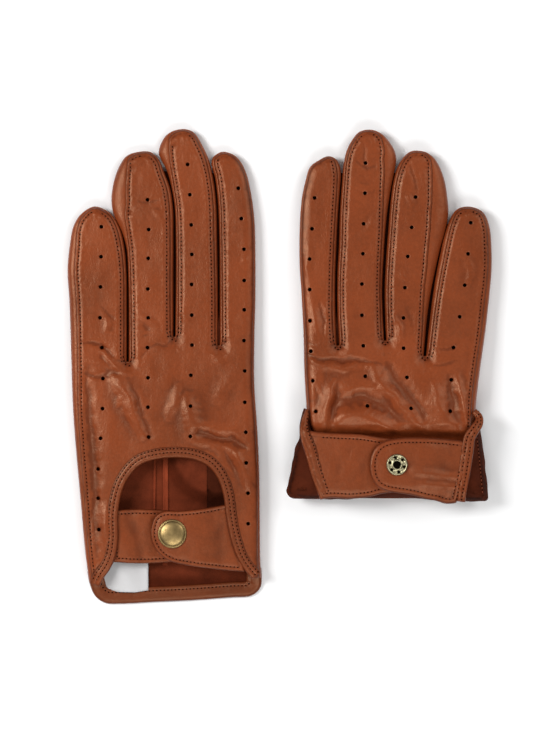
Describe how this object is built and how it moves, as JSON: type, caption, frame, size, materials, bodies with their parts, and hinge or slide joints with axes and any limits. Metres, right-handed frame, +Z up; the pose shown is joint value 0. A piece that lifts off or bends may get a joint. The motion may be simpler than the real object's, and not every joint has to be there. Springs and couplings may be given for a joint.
{
  "type": "leather gloves",
  "caption": "Pair of soft leather driving gloves, perforated backs, keyhole cuffs and snap-fastened wrist tabs; the right cuff is turned back inside out.",
  "frame": {"origin": "middle of the pair's outline, on the surface it lies on", "axes": "+X to the right with the backs of the hands up, +Y towards the fingertips, +Z up"},
  "size_m": [0.22, 0.248, 0.0251],
  "materials": {
    "nappa": "smooth tan nappa, soft gloss",
    "strap_lining": "tan nappa, matt",
    "label_cloth": "white satin weave, blank",
    "antique_brass": "antiqued, rubbed bright on the high parts",
    "bright_brass": "satin",
    "steel": "plated"
  },
  "bodies": {
    "left_glove": {"left_palm_panel": "nappa", "left_back_panel": "nappa", "left_little_ring_fourchette": "nappa", "left_ring_middle_fourchette": "nappa", "left_middle_index_fourchette": "nappa", "left_thumb": "nappa", "left_keyhole_binding": "nappa", "left_hem_facing": "nappa", "left_label": "label_cloth", "left_understrap": "nappa", "left_understrap_lining": "strap_lining", "left_snap_stud": "steel", "left_snap_eyelet": "bright_brass"},
    "left_tab": {"left_tab": "nappa", "left_tab_lining": "strap_lining", "left_snap_cap": "antique_brass", "left_snap_socket": "steel"},
    "right_glove": {"right_palm_panel": "nappa", "right_back_panel": "nappa", "right_little_ring_fourchette": "nappa", "right_ring_middle_fourchette": "nappa", "right_middle_index_fourchette": "nappa", "right_thumb": "nappa", "right_keyhole_binding": "nappa", "right_hem_facing": "nappa", "right_label": "label_cloth", "right_tab": "nappa", "right_tab_lining": "strap_lining", "right_snap_cap": "antique_brass", "right_snap_socket": "steel"},
    "right_strap": {"right_understrap": "nappa", "right_understrap_lining": "strap_lining", "right_snap_stud": "steel", "right_snap_eyelet": "bright_brass"}
  },
  "joints": [
    {"name": "left_tab_flex", "type": "hinge", "parent": "left_glove", "child": "left_tab", "pos_m": [-0.0273, -0.073, 0.0143], "axis": [-0.2316, 0.9728, 0], "range_deg": [0, 150]},
    {"name": "pair_separation", "type": "slide", "parent": "left_glove", "child": "right_glove", "axis": [1, 0, 0], "range_m": [0, 0.1]},
    {"name": "right_strap_flex", "type": "hinge", "parent": "right_glove", "child": "right_strap", "pos_m": [0.0843, -0.0505, 0.0225], "axis": [0, 1, 0], "range_deg": [0, 150]}
  ]
}
